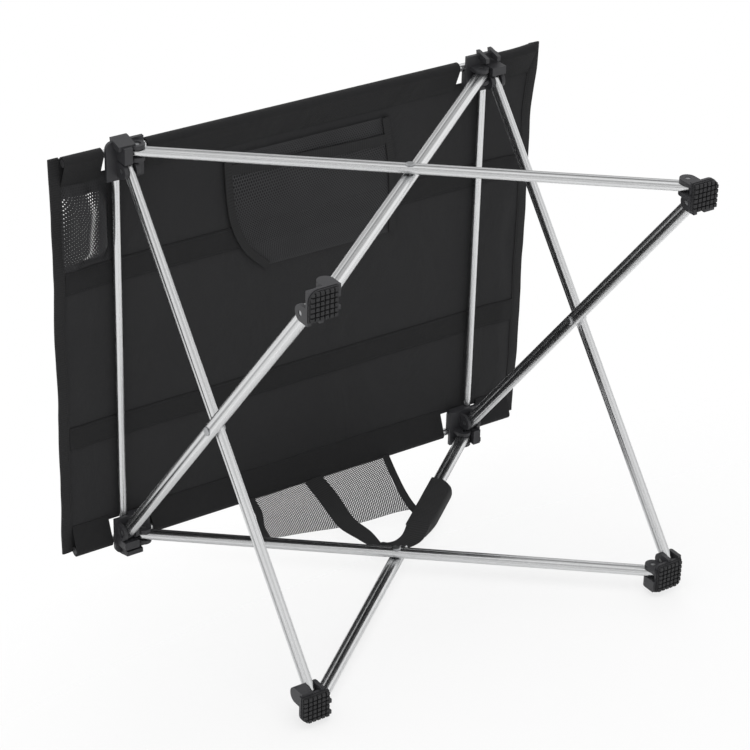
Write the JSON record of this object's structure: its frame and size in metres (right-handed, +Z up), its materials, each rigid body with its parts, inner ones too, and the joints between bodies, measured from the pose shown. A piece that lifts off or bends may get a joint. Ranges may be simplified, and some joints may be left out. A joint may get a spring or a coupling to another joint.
{
  "type": "folding table",
  "caption": "Small folding camp table with a black fabric top on rods, a scissor frame of flat aluminium tube, plastic hubs and studded feet, and net pockets",
  "frame": {"origin": "centre of the footprint, on the ground under the treads, with the table open and upright", "axes": "+Z up, +X along the long side of the top, -Y towards the front long side with the flat net pocket"},
  "size_m": [0.561, 0.46, 0.3636],
  "materials": {
    "tube": "satin",
    "rod": "satin",
    "steel": "satin",
    "plastic": "moulded matte",
    "rubber": "matte",
    "fabric": "woven polyester",
    "webbing": "ribbed webbing",
    "net": "open net"
  },
  "bodies": {
    "foot_body_front_left": {"foot_front_left": "plastic", "tread_front_left": "rubber", "foot_pins_front_left": "steel"},
    "hub_body_front_left": {"hub_front_left": "plastic", "hub_pins_front_left": "steel"},
    "foot_body_front_right": {"foot_front_right": "plastic", "tread_front_right": "rubber", "foot_pins_front_right": "steel"},
    "hub_body_front_right": {"hub_front_right": "plastic", "hub_pins_front_right": "steel"},
    "foot_body_back_right": {"foot_back_right": "plastic", "tread_back_right": "rubber", "foot_pins_back_right": "steel"},
    "hub_body_back_right": {"hub_back_right": "plastic", "hub_pins_back_right": "steel"},
    "foot_body_back_left": {"foot_back_left": "plastic", "tread_back_left": "rubber", "foot_pins_back_left": "steel"},
    "hub_body_back_left": {"hub_back_left": "plastic", "hub_pins_back_left": "steel"},
    "leg_front_outer_body": {"leg_front_outer": "tube", "rivet_front": "steel"},
    "leg_front_inner_body": {"leg_front_inner": "tube"},
    "leg_right_outer_body": {"leg_right_outer": "tube", "rivet_right": "steel"},
    "leg_right_inner_body": {"leg_right_inner": "tube"},
    "leg_back_outer_body": {"leg_back_outer": "tube", "rivet_back": "steel"},
    "leg_back_inner_body": {"leg_back_inner": "tube"},
    "leg_left_outer_body": {"leg_left_outer": "tube", "rivet_left": "steel"},
    "leg_left_inner_body": {"leg_left_inner": "tube"},
    "top": {"long_rod_front": "rod", "long_rod_back": "rod", "short_rod_left": "rod", "short_rod_right": "rod", "rod_caps": "plastic", "rod_clips": "plastic", "top_fabric": "fabric", "sleeve_front": "fabric", "sleeve_back": "fabric", "binding_left": "webbing", "binding_right": "webbing", "band_front": "webbing", "band_back": "webbing", "cup_net": "net", "pocket_front": "net", "pocket_front_straps": "webbing", "pocket_back": "net", "pocket_back_straps": "webbing", "handle_strap": "webbing"}
  },
  "joints": [
    {"name": "frame_fold", "type": "hinge", "parent": "foot_body_back_right", "child": "leg_right_outer_body", "pos_m": [0.2163, 0.199, 0.016], "axis": [-1, 0, 0], "range_deg": [0, 47.5], "deforming": ["pocket_back", "pocket_back_straps", "handle_strap"]},
    {"name": "foot_pivot_back", "type": "hinge", "parent": "foot_body_back_right", "child": "leg_back_inner_body", "pos_m": [0.199, 0.2077, 0.016], "axis": [0, 1, 0], "range_deg": [0, 47.5]},
    {"name": "cross_pivot_right", "type": "hinge", "parent": "leg_right_outer_body", "child": "leg_right_inner_body", "pos_m": [0.212, 0, 0.1785], "axis": [1, 0, 0], "range_deg": [0, 95]},
    {"name": "cross_pivot_back", "type": "hinge", "parent": "leg_back_inner_body", "child": "leg_back_outer_body", "pos_m": [0, 0.212, 0.1785], "axis": [0, -1, 0], "range_deg": [0, 95]},
    {"name": "hub_pivot_front_right", "type": "hinge", "parent": "leg_right_outer_body", "child": "hub_body_front_right", "pos_m": [0.2163, -0.199, 0.341], "axis": [1, 0, 0], "range_deg": [0, 47.5]},
    {"name": "hub_pivot_back_left", "type": "hinge", "parent": "leg_back_inner_body", "child": "hub_body_back_left", "pos_m": [-0.199, 0.2077, 0.341], "axis": [0, -1, 0], "range_deg": [0, 47.5]},
    {"name": "hub_pivot_back_right", "type": "hinge", "parent": "leg_right_inner_body", "child": "hub_body_back_right", "pos_m": [0.2077, 0.199, 0.341], "axis": [-1, 0, 0], "range_deg": [0, 47.5]},
    {"name": "foot_pivot_front_right", "type": "hinge", "parent": "leg_right_inner_body", "child": "foot_body_front_right", "pos_m": [0.2077, -0.199, 0.016], "axis": [-1, 0, 0], "range_deg": [0, 47.5]},
    {"name": "foot_pivot_back_left", "type": "hinge", "parent": "leg_back_outer_body", "child": "foot_body_back_left", "pos_m": [-0.199, 0.2163, 0.016], "axis": [0, 1, 0], "range_deg": [0, 47.5]},
    {"name": "hub_pivot_front", "type": "hinge", "parent": "hub_body_front_right", "child": "leg_front_inner_body", "pos_m": [0.199, -0.2077, 0.341], "axis": [0, -1, 0], "range_deg": [0, 47.5]},
    {"name": "cross_pivot_front", "type": "hinge", "parent": "leg_front_inner_body", "child": "leg_front_outer_body", "pos_m": [0, -0.212, 0.1785], "axis": [0, 1, 0], "range_deg": [0, 95]},
    {"name": "foot_pivot_front_left", "type": "hinge", "parent": "leg_front_inner_body", "child": "foot_body_front_left", "pos_m": [-0.199, -0.2077, 0.016], "axis": [0, 1, 0], "range_deg": [0, 47.5]},
    {"name": "hub_pivot_front_left", "type": "hinge", "parent": "leg_front_outer_body", "child": "hub_body_front_left", "pos_m": [-0.199, -0.2163, 0.341], "axis": [0, -1, 0], "range_deg": [0, 47.5]},
    {"name": "hub_pivot_left", "type": "hinge", "parent": "hub_body_back_left", "child": "leg_left_outer_body", "pos_m": [-0.2163, 0.199, 0.341], "axis": [1, 0, 0], "range_deg": [0, 47.5]},
    {"name": "cross_pivot_left", "type": "hinge", "parent": "leg_left_outer_body", "child": "leg_left_inner_body", "pos_m": [-0.212, 0, 0.1785], "axis": [-1, 0, 0], "range_deg": [0, 95]},
    {"name": "top_lift", "type": "slide", "parent": "hub_body_back_right", "child": "top", "axis": [0.6382, 0.6382, 0.4305], "range_m": [0, 0.28887]}
  ],
  "couplings": [
    {"joint": "foot_pivot_back", "follows": "frame_fold", "ratio": 1},
    {"joint": "cross_pivot_right", "follows": "frame_fold", "ratio": 2},
    {"joint": "cross_pivot_back", "follows": "frame_fold", "ratio": 2},
    {"joint": "hub_pivot_front_right", "follows": "frame_fold", "ratio": 1},
    {"joint": "hub_pivot_back_left", "follows": "frame_fold", "ratio": 1},
    {"joint": "hub_pivot_back_right", "follows": "frame_fold", "ratio": 1},
    {"joint": "foot_pivot_front_right", "follows": "frame_fold", "ratio": 1},
    {"joint": "foot_pivot_back_left", "follows": "frame_fold", "ratio": 1},
    {"joint": "hub_pivot_front", "follows": "frame_fold", "ratio": 1},
    {"joint": "cross_pivot_front", "follows": "frame_fold", "ratio": 2},
    {"joint": "foot_pivot_front_left", "follows": "frame_fold", "ratio": 1},
    {"joint": "hub_pivot_front_left", "follows": "frame_fold", "ratio": 1},
    {"joint": "hub_pivot_left", "follows": "frame_fold", "ratio": 1},
    {"joint": "cross_pivot_left", "follows": "frame_fold", "ratio": 2},
    {"joint": "top_lift", "follows": "frame_fold", "m_per_rad": 0.34844}
  ]
}
